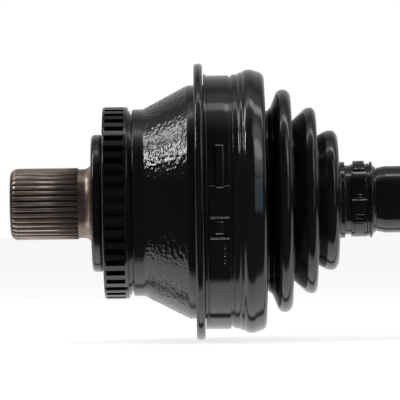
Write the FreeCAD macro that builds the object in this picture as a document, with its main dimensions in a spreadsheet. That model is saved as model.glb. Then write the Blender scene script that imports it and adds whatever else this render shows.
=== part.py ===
import FreeCAD, Part
import math
import os
import Sketcher

# A driveshaft for a driven wheel, lying along X with the wheel end at -X and the gearbox end at +X.
# The origin is the centre of the face that the wheel bearing's inner ring seats against.
# Wheel end: a fixed ball joint that bends both ways. Gearbox end: a flanged ball joint that bends and plunges.
# Every "_x" size is a station along the axle, and every "_rad" size a radius about it, in millimetres.

SIZES = {
    # wheel-side stub, turned and splined
    "stub_end_x": -37.8, "spline_end_x": -6.4, "spline_tip_rad": 16.6, "spline_root_rad": 15.5,
    "spline_teeth": 38, "spline_gap_tip": 1.75, "spline_gap_root": 0.7, "stub_end_round": 3.5,
    "neck_rad": 16.0, "neck_round": 2.2,
    "thread_rad": 7.2, "thread_mouth_rad": 8.4, "thread_depth": 29.0, "drill_point": 4.0,
    # wheel-side joint housing
    "seat_rad": 31.9, "seat_thick": 5.4, "seat_round": 1.4,
    "front_x": 5.8, "pickup_seat_rad": 41.4, "rim_x": 19.1, "rim_rad": 43.4, "cone_start_x": 24.2,
    "cone_end_x": 45.0, "housing_rad": 54.3, "housing_end_x": 65.0, "mouth_rad": 45.0,
    "mouth_throat_x": 58.0, "mouth_throat_rad": 34.2, "housing_chamfer": 1.0,
    # wheel-side joint works
    "outer_centre_x": 46.0, "outer_ball_rad": 11.0, "outer_ball_pitch": 33.0, "outer_ball_room": 1.7,
    "outer_cavity_rad": 36.5, "outer_cage_rad": 36.2, "outer_cage_bore": 30.6, "outer_cage_half": 15.5,
    "outer_race_rad": 30.3, "outer_window_half": 11.3, "outer_window_reach": 13.0,
    # speed-sensor pickup ring
    "pickup_start_x": 5.5, "pickup_end_x": 17.3, "pickup_lip_x": 18.2, "pickup_rad": 44.6,
    "pickup_lip_rad": 42.8, "pickup_round": 0.8, "pickup_windows": 45, "window_start_x": 6.7,
    "window_end_x": 15.4, "window_width": 3.3,
    # splash ring
    "splash_start_x": 47.9, "splash_end_x": 52.0, "splash_rad": 64.3, "splash_round": 1.4,
    # boots and clamps
    "boot_fit": 0.1, "boot_wall": 1.9, "boot_start_x": 52.2, "boot_bead_x": 53.8, "boot_bead_rad": 59.3,
    "boot_groove_rad": 58.1, "big_band_x": 53.9, "big_band_width": 10.0, "big_band_rad": 58.2,
    "band_thick": 0.9, "collar_x": 114.9, "collar_rad": 17.8, "neck_groove_x": 117.5,
    "neck_groove_rad": 16.0, "small_band_x": 120.2, "small_band_width": 8.4, "neck_lip_x": 128.9,
    "neck_lip_rad": 17.7, "neck_tip_x": 131.7, "neck_tip_rad": 15.2,
    # shaft
    "race_half": 12.0, "clip_wire": 0.9, "journal_rad": 13.4, "journal_root": 12.5, "journal_teeth": 33,
    "journal_gap_tip": 1.45, "journal_gap_root": 0.6, "race_gap_tip": 1.55, "race_gap_root": 2.3,
    "spline_play": 0.12, "clip_groove_rad": 12.2, "shoulder_rad": 15.5,
    "washer_thick": 2.2, "thrust_thick": 4.0, "reach_past_race": 4.0, "waist_rad": 13.6,
    "boot_seat_rad": 14.0, "boot_seat_x": 116.0, "bar_start_x": 136.0, "bar_step_rad": 14.7,
    "bar_rad": 15.5, "bar_end_x": 312.0,
    # gearbox-side joint
    "inner_centre_x": 430.0, "ring_half": 22.0, "ring_rad": 54.0, "ring_bore": 34.5,
    "inner_ball_rad": 10.0, "inner_ball_pitch": 29.5, "inner_ball_room": 0.8,
    "inner_cage_rad": 34.2, "inner_cage_bore": 28.6, "inner_cage_half": 14.0, "inner_race_rad": 28.3,
    "inner_window_half": 10.3, "inner_window_reach": 11.5,
    "bolt_pitch_rad": 47.0, "bolt_hole_rad": 5.2, "cover_seat_rad": 41.3, "cover_seat_depth": 1.5,
    "cover_wall": 1.2, "cover_bore": 40.0, "cover_depth": 10.5, "gasket_thick": 0.6,
    "cap_thick": 1.5, "cap_rad": 53.4, "cap_bore": 40.5, "cap_waist_x": 400.0, "cap_neck_x": 394.0,
    "cap_neck_bore": 36.4, "cap_end_x": 381.0,
    "inner_boot_x": 393.0, "inner_band_offset": 1.8, "inner_band_rad": 40.6, "inner_neck_offset": 58.0,
}

BALLS = 6
BALL_STEP = 360.0 / BALLS
FIRST_BALL = 30.0      # degrees from +Z, so that balls 2 and 5 lie on the bending axis Y
X_AXIS = FreeCAD.Vector(1, 0, 0)
Y_AXIS = FreeCAD.Vector(0, 1, 0)
Z_AXIS = FreeCAD.Vector(0, 0, 1)
NODES = {}


class Size:
    """A number together with the spreadsheet expression that it comes from."""

    def __init__(self, value, text):
        self.value = value
        self.text = text

    def _with(self, sign, other, value):
        text = other.text if isinstance(other, Size) else repr(other)
        return Size(value, f"({self.text} {sign} {text})")

    def __add__(self, other):
        return self._with("+", other, self.value + number(other))

    def __sub__(self, other):
        return self._with("-", other, self.value - number(other))

    def __mul__(self, other):
        return self._with("*", other, self.value * number(other))

    def __truediv__(self, other):
        return self._with("/", other, self.value / number(other))


def number(size):
    return size.value if isinstance(size, Size) else float(size)


class Sheet:
    """The document's spreadsheet. sheet.name gives that cell as a Size."""

    def __init__(self, doc):
        self._cells = doc.addObject("Spreadsheet::Sheet", "Sizes")
        for row, (name, value) in enumerate(SIZES.items(), start=1):
            self._cells.set(f"A{row}", name)
            self._cells.set(f"B{row}", str(value))
            self._cells.setAlias(f"B{row}", name)
        doc.recompute()

    def __getattr__(self, name):
        return Size(float(SIZES[name]), f"Sizes.{name}")


def bind(thing, prop, size):
    """Gives a property its number, and the expression if the number comes from the sheet."""
    if "." not in prop:
        setattr(thing, prop, number(size))
    if isinstance(size, Size):
        thing.setExpression(prop, size.text)


def put(thing, x=None, rotation=None):
    """Places a piece at a station on the axle, turned about its own origin."""
    thing.Placement = FreeCAD.Placement(
        FreeCAD.Vector(number(x or 0), 0, 0), rotation or FreeCAD.Rotation())
    if isinstance(x, Size):
        thing.setExpression(".Placement.Base.x", x.text)
    return thing


def about_axle(degrees):
    return FreeCAD.Rotation(X_AXIS, degrees)


def node(thing, label):
    """Marks a finished sub-part, whose label names its file."""
    thing.Label = label
    NODES[label] = thing
    return thing


# ---------------------------------------------------------------- sketches and bodies

def origin_part(body, role):
    return next(f for f in body.Origin.OriginFeatures if f.Role == role)


def sketch_on(body, plane, name, offset=None):
    sketch = body.newObject("Sketcher::SketchObject", name)
    sketch.AttachmentSupport = [(origin_part(body, plane), "")]
    sketch.MapMode = "FlatFace"
    if offset is not None:
        sketch.AttachmentOffset = FreeCAD.Placement(
            FreeCAD.Vector(0, 0, number(offset)), FreeCAD.Rotation())
        sketch.setExpression("AttachmentOffset.Base.z", offset.text)
    return sketch


def draw_outline(sketch, points):
    """Draws a closed outline and fixes each corner with two dimensions from the sketch's origin."""
    at = [FreeCAD.Vector(number(a), number(b), 0) for a, b in points]
    for i, start in enumerate(at):
        sketch.addGeometry(Part.LineSegment(start, at[(i + 1) % len(at)]), False)
    for i in range(len(at)):
        sketch.addConstraint(Sketcher.Constraint("Coincident", i, 2, (i + 1) % len(at), 1))
    for i, corner in enumerate(points):
        for kind, size in zip(("DistanceX", "DistanceY"), corner):
            c = sketch.addConstraint(Sketcher.Constraint(kind, -1, 1, i, 1, number(size)))
            if isinstance(size, Size):
                sketch.setExpression(f"Constraints[{c}]", size.text)


def turned(doc, name, points):
    """A body turned about the axle from an outline of (station, radius) corners."""
    body = doc.addObject("PartDesign::Body", name)
    sketch = sketch_on(body, "XZ_Plane", name + "Outline")
    draw_outline(sketch, points)
    turn = body.newObject("PartDesign::Revolution", name + "Turn")
    turn.Profile = sketch
    turn.ReferenceAxis = (sketch, ["H_Axis"])
    turn.Angle = 360
    doc.recompute()
    return body


def rounded(doc, body, rounds):
    """Rounds the circular edges at the given (station, radius) spots; rounds holds (size, spots) pairs."""
    for size, spots in rounds:
        base = body.Tip
        names = []
        for i, edge in enumerate(base.Shape.Edges, start=1):
            if not isinstance(edge.Curve, Part.Circle):
                continue
            here = (edge.Curve.Center.x, edge.Curve.Radius)
            if any(math.dist(here, (number(x), number(r))) < 1e-3 for x, r in spots):
                names.append(f"Edge{i}")
        fillet = body.newObject("PartDesign::Fillet", body.Name + "Round")
        fillet.Base = (base, names)
        bind(fillet, "Radius", size)
        doc.recompute()
    return body


def cut_all_round(doc, body, name, plane, points, length, count, offset=None, both=False):
    """Pockets an outline into the body, and repeats the pocket round the axle."""
    before = body.Shape.Volume
    sketch = sketch_on(body, plane, name + "Outline", offset)
    draw_outline(sketch, points)
    pocket = body.newObject("PartDesign::Pocket", name)
    pocket.Profile = sketch
    bind(pocket, "Length", length)
    pocket.Midplane = both
    pocket.Reversed = not both
    doc.recompute()
    pattern = body.newObject("PartDesign::PolarPattern", name + "Pattern")
    pattern.Originals = [pocket]
    pattern.Axis = (origin_part(body, "X_Axis"), [""])
    pattern.Angle = 360
    pattern.Occurrences = int(number(count))
    if isinstance(count, Size):
        pattern.setExpression("Occurrences", count.text)
    body.Tip = pattern
    doc.recompute()
    if body.Shape.Volume >= before:
        raise RuntimeError(f"{name} cut nothing")
    return body


def tooth_gap(tip_width, root_width, root, beyond):
    """The section of one gap between spline teeth, on the sketch's vertical axis."""
    half_root = root_width / 2
    half_tip = tip_width / 2
    return [(half_root, root), (half_tip, beyond), (half_tip * -1, beyond), (half_root * -1, root)]


# ---------------------------------------------------------------- primitives and booleans

def cylinder(doc, name, radius, length, x, span=360.0, start=0.0):
    """A cylinder along the axle from station x towards +X. A part turn starts at `start` degrees from +Z."""
    made = doc.addObject("Part::Cylinder", name)
    bind(made, "Radius", radius)
    bind(made, "Height", length)
    made.Angle = span
    upright = FreeCAD.Rotation(Y_AXIS, 90).multiply(FreeCAD.Rotation(Z_AXIS, 180))
    return put(made, x, about_axle(start).multiply(upright))


def sphere(doc, name, radius, x):
    made = doc.addObject("Part::Sphere", name)
    bind(made, "Radius", radius)
    return put(made, x)


def cut(doc, name, base, *tools):
    """base less every tool."""
    tool = tools[0]
    if len(tools) > 1:
        tool = doc.addObject("Part::MultiFuse", name + "Tools")
        tool.Shapes = list(tools)
    made = doc.addObject("Part::Cut", name)
    made.Base = base
    made.Tool = tool
    return made


def common(doc, name, first, second):
    made = doc.addObject("Part::Common", name)
    made.Base = first
    made.Tool = second
    return made


def fuse(doc, name, *pieces):
    made = doc.addObject("Part::MultiFuse", name)
    made.Shapes = list(pieces)
    return made


def tube(doc, name, bore, radius, length, x, span=360.0, start=0.0):
    wall = cylinder(doc, name + "Wall", radius, length, x, span, start)
    return cut(doc, name, wall, cylinder(doc, name + "Bore", bore, length, x, span, start))


def curved_tracks(doc, name, s, back, front):
    """Ball tracks curved about the wheel-side joint's centre, from `back` to `front` degrees off upright."""
    tracks = []
    for i in range(BALLS):
        track = doc.addObject("Part::Torus", f"{name}{i + 1}")
        bind(track, "Radius1", s.outer_ball_pitch)
        bind(track, "Radius2", s.outer_ball_rad + s.outer_ball_room)
        track.Angle3 = back + front
        # the sweep turns from the stub side over the top to the mouth side, in the plane of its ball
        flat = FreeCAD.Rotation(X_AXIS, 90).multiply(FreeCAD.Rotation(Z_AXIS, 90 - front))
        turn = about_axle(FIRST_BALL + i * BALL_STEP)
        tracks.append(put(track, s.outer_centre_x, turn.multiply(flat)))
    return tracks


def straight_tracks(doc, name, s, half_length):
    """Ball tracks that run straight along the axle, round the gearbox-side joint's centre."""
    tracks = []
    for i in range(BALLS):
        track = cylinder(doc, f"{name}{i + 1}", s.inner_ball_rad + s.inner_ball_room,
                         half_length * 2, s.inner_centre_x - half_length)
        angle = math.radians(FIRST_BALL + i * BALL_STEP)
        for axis, share in (("y", -math.sin(angle)), ("z", math.cos(angle))):
            track.setExpression(f".Placement.Base.{axis}", f"Sizes.inner_ball_pitch * {share:.12f}")
        tracks.append(track)
    return tracks


def balls(doc, end, centre, radius, pitch):
    for i in range(BALLS):
        ball = sphere(doc, f"{end}Ball{i + 1}", radius, centre)
        angle = math.radians(FIRST_BALL + i * BALL_STEP)
        for axis, share in (("y", -math.sin(angle)), ("z", math.cos(angle))):
            ball.setExpression(f".Placement.Base.{axis}", f"{pitch.text} * {share:.12f}")
        node(ball, f"{end}_ball_{i + 1}")


def cage(doc, end, centre, radius, bore, half, window_half, window_reach):
    """A barrel with round outer and inner faces and one window for each ball."""
    shell = cut(doc, end + "CageShell", sphere(doc, end + "CageSkin", radius, centre),
                sphere(doc, end + "CageHollow", bore, centre))
    slab = cylinder(doc, end + "CageSlab", radius, half * 2, centre - half)
    barrel = common(doc, end + "CageBarrel", shell, slab)
    windows = []
    for i in range(BALLS):
        window = doc.addObject("Part::Box", f"{end}Window{i + 1}")
        bind(window, "Length", window_half * 2)
        bind(window, "Width", window_reach * 2)
        bind(window, "Height", radius)
        turn = about_axle(FIRST_BALL + i * BALL_STEP)
        across = turn.multVec(FreeCAD.Vector(0, -1, 0))
        put(window, centre - window_half, turn)
        for axis, share in (("y", across.y), ("z", across.z)):
            window.setExpression(f".Placement.Base.{axis}", f"{window_reach.text} * {share:.12f}")
        windows.append(window)
    node(cut(doc, end + "Cage", barrel, *windows), f"{end}_cage")


def splined_race(doc, s, end, centre, ball_face, tracks):
    """An inner race: a splined hub with a round outside, cut by its six tracks."""
    root = s.journal_root + s.spline_play
    hub = turned(doc, end + "RaceHub", [
        (centre - s.race_half, root), (centre + s.race_half, root),
        (centre + s.race_half, ball_face), (centre - s.race_half, ball_face)])
    gap = tooth_gap(s.race_gap_tip, s.race_gap_root, root - 1.0, s.journal_rad + s.spline_play)
    cut_all_round(doc, hub, end + "RaceTeeth", "YZ_Plane", gap, s.race_half * 2,
                  s.journal_teeth, offset=centre - s.race_half)
    # half a tooth round, so that its gaps take the shaft's teeth
    put(hub, rotation=about_axle(180.0 / s.journal_teeth.value))
    round_hub = common(doc, end + "RaceRound", hub, sphere(doc, end + "RaceBall", ball_face, centre))
    node(cut(doc, end + "Race", round_hub, *tracks), f"{end}_star_race")


def circlip(doc, end, x, ring_rad, wire, turn):
    """A round-wire snap ring with a gap."""
    clip = doc.addObject("Part::Torus", end + "Clip")
    bind(clip, "Radius1", ring_rad)
    bind(clip, "Radius2", wire)
    clip.Angle3 = 325.0
    put(clip, x, about_axle(turn).multiply(FreeCAD.Rotation(Y_AXIS, 90)))
    node(clip, f"{end}_circlip")


# ---------------------------------------------------------------- wheel side

def outer_housing(doc, s):
    """The forged housing with its splined stub and threaded bolt hole."""
    thread_end = s.stub_end_x + s.thread_depth
    bevel = s.thread_mouth_rad - s.thread_rad
    blank = turned(doc, "HousingBlank", [
        (s.stub_end_x, s.thread_mouth_rad),
        (s.stub_end_x + bevel, s.thread_rad),
        (thread_end, s.thread_rad),
        (thread_end + s.drill_point, 0.0),
        (s.outer_centre_x, 0.0),
        (s.mouth_throat_x, s.mouth_throat_rad),
        (s.housing_end_x, s.mouth_rad),
        (s.housing_end_x, s.housing_rad - s.housing_chamfer),
        (s.housing_end_x - s.housing_chamfer, s.housing_rad),
        (s.cone_end_x, s.housing_rad),
        (s.cone_start_x, s.rim_rad),
        (s.rim_x, s.rim_rad),
        (s.rim_x, s.pickup_seat_rad),
        (s.front_x, s.pickup_seat_rad),
        (s.front_x, s.seat_rad - 2.0),
        (s.seat_thick, s.seat_rad - 2.0),
        (s.seat_thick, s.seat_rad),
        (0.0, s.seat_rad),
        (0.0, s.neck_rad),
        (s.spline_end_x, s.neck_rad),
        (s.spline_end_x, s.spline_tip_rad),
        (s.stub_end_x, s.spline_tip_rad)])
    rounded(doc, blank, [
        (s.stub_end_round, [(s.stub_end_x, s.spline_tip_rad)]),
        (s.neck_round, [(0, s.neck_rad)]),
        (s.seat_round, [(0, s.seat_rad), (s.seat_thick, s.seat_rad)]),
        (s.housing_chamfer, [(s.cone_end_x, s.housing_rad), (s.rim_x, s.rim_rad)])])
    gap = tooth_gap(s.spline_gap_tip, s.spline_gap_root, s.spline_root_rad, s.spline_tip_rad + 0.6)
    cut_all_round(doc, blank, "StubTeeth", "YZ_Plane", gap,
                  s.spline_end_x - s.stub_end_x, s.spline_teeth, offset=s.stub_end_x)
    cavity = sphere(doc, "HousingCavity", s.outer_cavity_rad, s.outer_centre_x)
    tracks = curved_tracks(doc, "HousingTrack", s, back=46.0, front=60.0)
    node(cut(doc, "Housing", blank, cavity, *tracks), "outer_joint_housing")


def pickup_ring(doc, s):
    """The pressed steel ring whose windows a speed sensor counts."""
    seat = s.pickup_seat_rad + 0.02
    ring = turned(doc, "PickupRing", [
        (s.pickup_start_x, seat), (s.pickup_lip_x, seat), (s.pickup_lip_x, s.pickup_lip_rad),
        (s.pickup_end_x, s.pickup_lip_rad), (s.pickup_end_x, s.pickup_rad),
        (s.pickup_start_x, s.pickup_rad)])
    half = s.window_width / 2
    cut_all_round(doc, ring, "PickupWindow", "XY_Plane", [
        (s.window_start_x, half * -1.0), (s.window_end_x, half * -1.0),
        (s.window_end_x, half), (s.window_start_x, half)], (s.pickup_rad - seat) * 3.0,
                  s.pickup_windows, offset=seat * 2.0 - s.pickup_rad)
    rounded(doc, ring, [
        (s.pickup_round, [(s.pickup_start_x, s.pickup_rad), (s.pickup_end_x, s.pickup_rad)])])
    node(ring, "speed_pickup_ring")


def splash_ring(doc, s):
    """The plain steel ring pressed on behind the boot, which throws water clear of the bearing."""
    ring = turned(doc, "SplashRing", [
        (s.splash_start_x, s.housing_rad + 0.02), (s.splash_end_x, s.housing_rad + 0.02),
        (s.splash_end_x, s.splash_rad), (s.splash_start_x, s.splash_rad)])
    rounded(doc, ring, [
        (s.splash_round, [(s.splash_start_x, s.splash_rad), (s.splash_end_x, s.splash_rad)])])
    node(ring, "splash_ring")


# ---------------------------------------------------------------- boots

def tangent_line(c0, s0, c1, s1):
    """The two touching points of a line past two circles. A positive s is a crest, a negative one a valley."""
    dx, dr = c1[0] - c0[0], c1[1] - c0[1]
    gap = math.hypot(dx, dr)
    lean = (s0 - s1) / gap
    rise = math.sqrt(1 - lean * lean)
    nx = lean * dx / gap - rise * dr / gap
    nr = lean * dr / gap + rise * dx / gap
    return (c0[0] + s0 * nx, c0[1] + s0 * nr), (c1[0] + s1 * nx, c1[1] + s1 * nr)


def folded_path(start, folds, end, depth=0.0):
    """Edges from start to end round every fold, each fold being (station, radius, signed roundness).

    depth sinks the whole path into the wall, so one list of folds gives both the skin and the lining."""
    circles = [((start[0], start[1]), 0.0)]
    circles += [((x, r), bend - depth) for x, r, bend in folds]
    circles += [((end[0], end[1]), 0.0)]
    edges = []
    last = None
    for (c0, s0), (c1, s1) in zip(circles, circles[1:]):
        a, b = tangent_line(c0, s0, c1, s1)
        if last is not None:
            swing = [(p + q) / 2 - c for p, q, c in zip(last, a, c0)]
            far = abs(s0) / math.hypot(*swing)
            middle = [c + far * v for c, v in zip(c0, swing)]
            edges.append(Part.Arc(point(last), point(middle), point(a)).toShape())
        edges.append(Part.makeLine(point(a), point(b)))
        last = b
    return edges


def point(spot):
    return FreeCAD.Vector(spot[0], 0, spot[1])


def boot_shape(skin_start, folds, skin_end, lining_start, lining_end, wall):
    """Turns the section between the skin and the lining about the axle."""
    skin = folded_path(skin_start[-1], folds, skin_end[0])
    lining = folded_path(lining_start[-1], folds, lining_end[0], wall)
    ring = [Part.makeLine(point(a), point(b)) for a, b in zip(skin_start, skin_start[1:])]
    ring += skin
    ring += [Part.makeLine(point(a), point(b)) for a, b in zip(skin_end, skin_end[1:])]
    ring.append(Part.makeLine(point(skin_end[-1]), point(lining_end[-1])))
    ring += [Part.makeLine(point(a), point(b)) for a, b in zip(lining_end, lining_end[1:])]
    ring += lining
    ring += [Part.makeLine(point(a), point(b)) for a, b in zip(lining_start, lining_start[1:])]
    ring.append(Part.makeLine(point(lining_start[0]), point(skin_start[0])))
    section = Part.Face(Part.Wire(Part.sortEdges(ring)[0]))
    return section.revolve(FreeCAD.Vector(0, 0, 0), X_AXIS, 360)


def outer_boot(doc, s):
    """The moulded bellows over the wheel-side joint: a stiff shoulder, three folds and a ribbed neck."""
    fit = number(s.boot_fit)
    seat = number(s.housing_rad) + fit
    bore = number(s.boot_seat_rad) + fit
    wall = number(s.boot_wall)
    x0, bead_x, bead = number(s.boot_start_x), number(s.boot_bead_x), number(s.boot_bead_rad)
    groove, band_end = number(s.boot_groove_rad), number(s.big_band_x + s.big_band_width)
    collar_x, collar = number(s.collar_x), number(s.collar_rad)
    dip_x, dip = number(s.neck_groove_x), number(s.neck_groove_rad)
    lip_x, lip = number(s.neck_lip_x), number(s.neck_lip_rad)
    tip_x, tip = number(s.neck_tip_x), number(s.neck_tip_rad)
    skin_start = [(x0, bead), (bead_x, bead), (bead_x, groove), (band_end + 1.4, groove),
                  (band_end + 1.4, groove + 0.9)]
    folds = [
        (68.8, 62.7, -3.4), (73.9, 58.6, 2.6), (77.9, 57.0, 2.5),       # the stiff rib beside the clamp
        (81.7, 38.3, -0.9), (89.3, 48.0, 3.6),      # first valley and fold
        (93.9, 38.6, -0.9), (101.2, 39.9, 3.2),
        (105.3, 31.2, -0.9), (110.5, 28.2, 4.2)]
    skin_end = [(collar_x, collar + 1.2), (collar_x, collar), (dip_x, collar), (dip_x, dip),
                (lip_x, dip), (lip_x, lip), (lip_x + 1.1, lip), (lip_x + 1.1, tip + 0.8), (tip_x, tip)]
    lining_start = [(x0, seat), (band_end + 1.3, seat)]
    lining_end = [(collar_x - wall, bore + 1.0), (collar_x, bore), (tip_x, bore)]
    boot = doc.addObject("Part::Feature", "OuterBoot")
    boot.Shape = boot_shape(skin_start, folds, skin_end, lining_start, lining_end, wall)
    node(boot, "outer_boot")


def inner_boot(doc, s):
    """The bellows between the sheet-metal cap and the shaft. It is drawn from its big end towards +X, then turned about."""
    fit = number(s.boot_fit)
    wall = number(s.boot_wall)
    seat = number(s.cap_neck_bore + s.cap_thick) + fit
    bore = number(s.boot_seat_rad) + fit
    groove = number(s.inner_band_rad) - fit
    band_from = number(s.inner_band_offset)
    band_to = band_from + number(s.small_band_width)
    neck = number(s.inner_neck_offset)
    dip, lip = number(s.neck_groove_rad), number(s.neck_lip_rad)
    band_side = 0.2
    skin_start = [(0.0, groove + 1.2), (band_from - band_side, groove + 1.2),
                  (band_from - band_side, groove), (band_to + band_side, groove),
                  (band_to + band_side, groove + 1.2)]
    folds = [
        (18.0, 42.2, 3.2), (23.0, 35.6, -0.9), (28.6, 37.2, 3.0), (33.4, 30.4, -0.9),
        (39.0, 31.6, 3.0), (43.8, 25.4, -0.9), (49.6, 24.4, 3.6)]
    skin_end = [(neck - 1.0, lip + 0.8), (neck, lip), (neck + 1.5, lip), (neck + 1.5, dip),
                (neck + 10.5, dip), (neck + 10.5, lip), (neck + 12.0, lip)]
    lining_start = [(0.0, seat), (band_to + 2.0, seat)]
    lining_end = [(neck - 1.5, bore + 0.9), (neck, bore), (neck + 12.0, bore)]
    boot = doc.addObject("Part::Feature", "InnerBoot")
    boot.Shape = boot_shape(skin_start, folds, skin_end, lining_start, lining_end, wall)
    put(boot, s.inner_boot_x, FreeCAD.Rotation(Z_AXIS, 180))
    node(boot, "inner_boot")


# ---------------------------------------------------------------- clamps

def box_on_band(doc, name, x, length, width, rad, height, turn):
    """A block lying across the band at `turn` degrees from +Z, its underside at radius rad."""
    block = doc.addObject("Part::Box", name)
    bind(block, "Length", length)
    bind(block, "Width", width)
    bind(block, "Height", height)
    out = about_axle(turn).multVec(FreeCAD.Vector(0, -number(width) / 2, number(rad)))
    put(block, x, about_axle(turn))
    block.Placement.Base.y = out.y
    block.Placement.Base.z = out.z
    return block


def clamp(doc, s, name, x, width, rad, end_turn, overlap):
    """A stepless band clamp: the band, its outer lap with a tongue, a window and the hook that holds it."""
    thick = s.band_thick
    outside = rad + thick
    band = tube(doc, name + "Band", rad, outside, width, x)
    lap = tube(doc, name + "Lap", outside, outside + thick, width, x, overlap, end_turn)
    tongue_span = number(width) * 1.7 / number(outside) * 180 / math.pi
    tongue = tube(doc, name + "Tongue", outside, outside + thick, width * 0.4, x + width * 0.32,
                  tongue_span, end_turn - tongue_span)
    window_turn = end_turn + tongue_span * 1.15
    window = box_on_band(doc, name + "Window", x + width * 0.12, width * 0.76, width * 0.86,
                         outside + 0.01, thick * 2.2, window_turn)
    hook = box_on_band(doc, name + "Hook", x + width * 0.36, width * 0.28, width * 0.4,
                       outside - thick * 0.5, thick * 1.7, window_turn)
    open_lap = cut(doc, name + "OpenLap", lap, window)
    node(fuse(doc, name, band, open_lap, tongue, hook), name)


# ---------------------------------------------------------------- shaft

def shaft(doc, s):
    """One forged bar with a splined journal and a circlip groove at each end."""
    wheel = s.outer_centre_x
    gear = s.inner_centre_x
    groove = s.clip_wire * 2.0
    stack = s.race_half + s.washer_thick
    wheel_shoulder = wheel + stack + s.thrust_thick + 0.4
    gear_shoulder = gear - stack - 0.3
    gear_neck = s.inner_boot_x - s.inner_neck_offset
    bar = turned(doc, "Shaft", [
        (wheel - s.race_half - s.reach_past_race, 0.0),
        (wheel - s.race_half - s.reach_past_race, s.clip_groove_rad),
        (wheel - s.race_half - s.reach_past_race + 1.0, s.journal_rad),
        (wheel - s.race_half - 0.1 - groove, s.journal_rad),
        (wheel - s.race_half - 0.1 - groove, s.clip_groove_rad),
        (wheel - s.race_half - 0.1, s.clip_groove_rad),
        (wheel - s.race_half - 0.1, s.journal_rad),
        (wheel_shoulder, s.journal_rad),
        (wheel_shoulder, s.shoulder_rad),
        (wheel_shoulder + 2.4, s.shoulder_rad),
        (wheel_shoulder + 4.6, s.waist_rad),
        (s.boot_seat_x, s.waist_rad),
        (s.boot_seat_x + 0.6, s.boot_seat_rad),
        (s.neck_tip_x + 0.3, s.boot_seat_rad),
        (s.neck_tip_x + 0.3, s.bar_step_rad),
        (s.bar_start_x, s.bar_rad),
        (s.bar_end_x, s.bar_rad),
        (gear_neck - 12.4, s.bar_step_rad),
        (gear_neck - 12.4, s.boot_seat_rad),
        (gear_neck + 2.0, s.boot_seat_rad),
        (gear_neck + 2.6, s.waist_rad),
        (gear_shoulder - 4.6, s.waist_rad),
        (gear_shoulder - 2.4, s.shoulder_rad),
        (gear_shoulder, s.shoulder_rad),
        (gear_shoulder, s.journal_rad),
        (gear + s.race_half + 0.1, s.journal_rad),
        (gear + s.race_half + 0.1, s.clip_groove_rad),
        (gear + s.race_half + 0.1 + groove, s.clip_groove_rad),
        (gear + s.race_half + 0.1 + groove, s.journal_rad),
        (gear + s.race_half + s.reach_past_race - 1.0, s.journal_rad),
        (gear + s.race_half + s.reach_past_race, s.clip_groove_rad),
        (gear + s.race_half + s.reach_past_race, 0.0)])
    gap = tooth_gap(s.journal_gap_tip, s.journal_gap_root, s.journal_root, s.journal_rad + 0.5)
    length = s.race_half * 2 + s.reach_past_race + 1.0
    cut_all_round(doc, bar, "WheelTeeth", "YZ_Plane", gap, length, s.journal_teeth,
                  offset=wheel - s.race_half - s.reach_past_race)
    cut_all_round(doc, bar, "GearTeeth", "YZ_Plane", gap, length, s.journal_teeth,
                  offset=gear - s.race_half - 1.0)
    node(bar, "shaft")


def spacers(doc, s):
    """The dished washers that load each race against its circlip, and the plastic ring beside the wheel-side one."""
    wheel = s.outer_centre_x + s.race_half
    gear = s.inner_centre_x - s.race_half
    bore = s.journal_rad + 0.1
    rim = s.shoulder_rad + 0.4
    node(turned(doc, "OuterWasher", [
        (wheel + 0.1, rim - 1.5), (wheel + s.washer_thick - 1.3, bore), (wheel + s.washer_thick, bore),
        (wheel + 1.5, rim), (wheel + 0.1, rim)]), "outer_dished_washer")
    node(turned(doc, "OuterThrust", [
        (wheel + s.washer_thick + 0.1, bore), (wheel + s.washer_thick + s.thrust_thick, bore),
        (wheel + s.washer_thick + s.thrust_thick, rim - 0.8),
        (wheel + s.washer_thick + 0.1, rim)]), "outer_thrust_ring")
    node(turned(doc, "InnerWasher", [
        (gear - s.washer_thick, bore), (gear - s.washer_thick + 1.3, bore), (gear - 0.1, rim - 1.5),
        (gear - 0.1, rim), (gear - 1.5, rim)]), "inner_dished_washer")


# ---------------------------------------------------------------- gearbox side

def bolt_holes(doc, name, s, radius, x, length):
    holes = []
    for i in range(BALLS):
        hole = cylinder(doc, f"{name}{i + 1}", radius, length, x)
        angle = math.radians(i * BALL_STEP)
        for axis, share in (("y", -math.sin(angle)), ("z", math.cos(angle))):
            hole.setExpression(f".Placement.Base.{axis}", f"Sizes.bolt_pitch_rad * {share:.12f}")
        holes.append(hole)
    return holes


def inner_ring(doc, s):
    """The bolted outer ring with straight tracks, a recess for the end cover and a shallow waist."""
    left = s.inner_centre_x - s.ring_half
    right = s.inner_centre_x + s.ring_half
    waist = s.ring_rad - 1.0
    ring = turned(doc, "InnerRingBlank", [
        (left, s.ring_bore), (right - s.cover_seat_depth, s.ring_bore),
        (right - s.cover_seat_depth, s.cover_seat_rad), (right, s.cover_seat_rad),
        (right, s.ring_rad - 1.0), (right - 1.0, s.ring_rad),
        (s.inner_centre_x + 5.0, s.ring_rad), (s.inner_centre_x + 4.0, waist),
        (s.inner_centre_x - 4.0, waist), (s.inner_centre_x - 5.0, s.ring_rad),
        (left + 1.0, s.ring_rad), (left, s.ring_rad - 1.0)])
    tracks = straight_tracks(doc, "RingTrack", s, s.ring_half + 2.0)
    holes = bolt_holes(doc, "RingHole", s, s.bolt_hole_rad, left - 2.0, s.ring_half * 2 + 4.0)
    node(cut(doc, "InnerRing", ring, *tracks, *holes), "inner_joint_ring")


def end_cover(doc, s):
    """The pressed cover that keeps the grease in at the gearbox side."""
    face = s.inner_centre_x + s.ring_half
    seat = face - s.cover_seat_depth
    out = s.cover_bore + s.cover_wall
    back = face + s.cover_depth
    cover = turned(doc, "EndCover", [
        (seat, s.cover_bore), (back - 3.0, s.cover_bore), (back, s.cover_bore - 3.0), (back, 0.0),
        (back + s.cover_wall, 0.0), (back + s.cover_wall, out - 3.6), (back - 2.4, out), (seat, out)])
    node(cover, "inner_end_cover")


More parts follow.
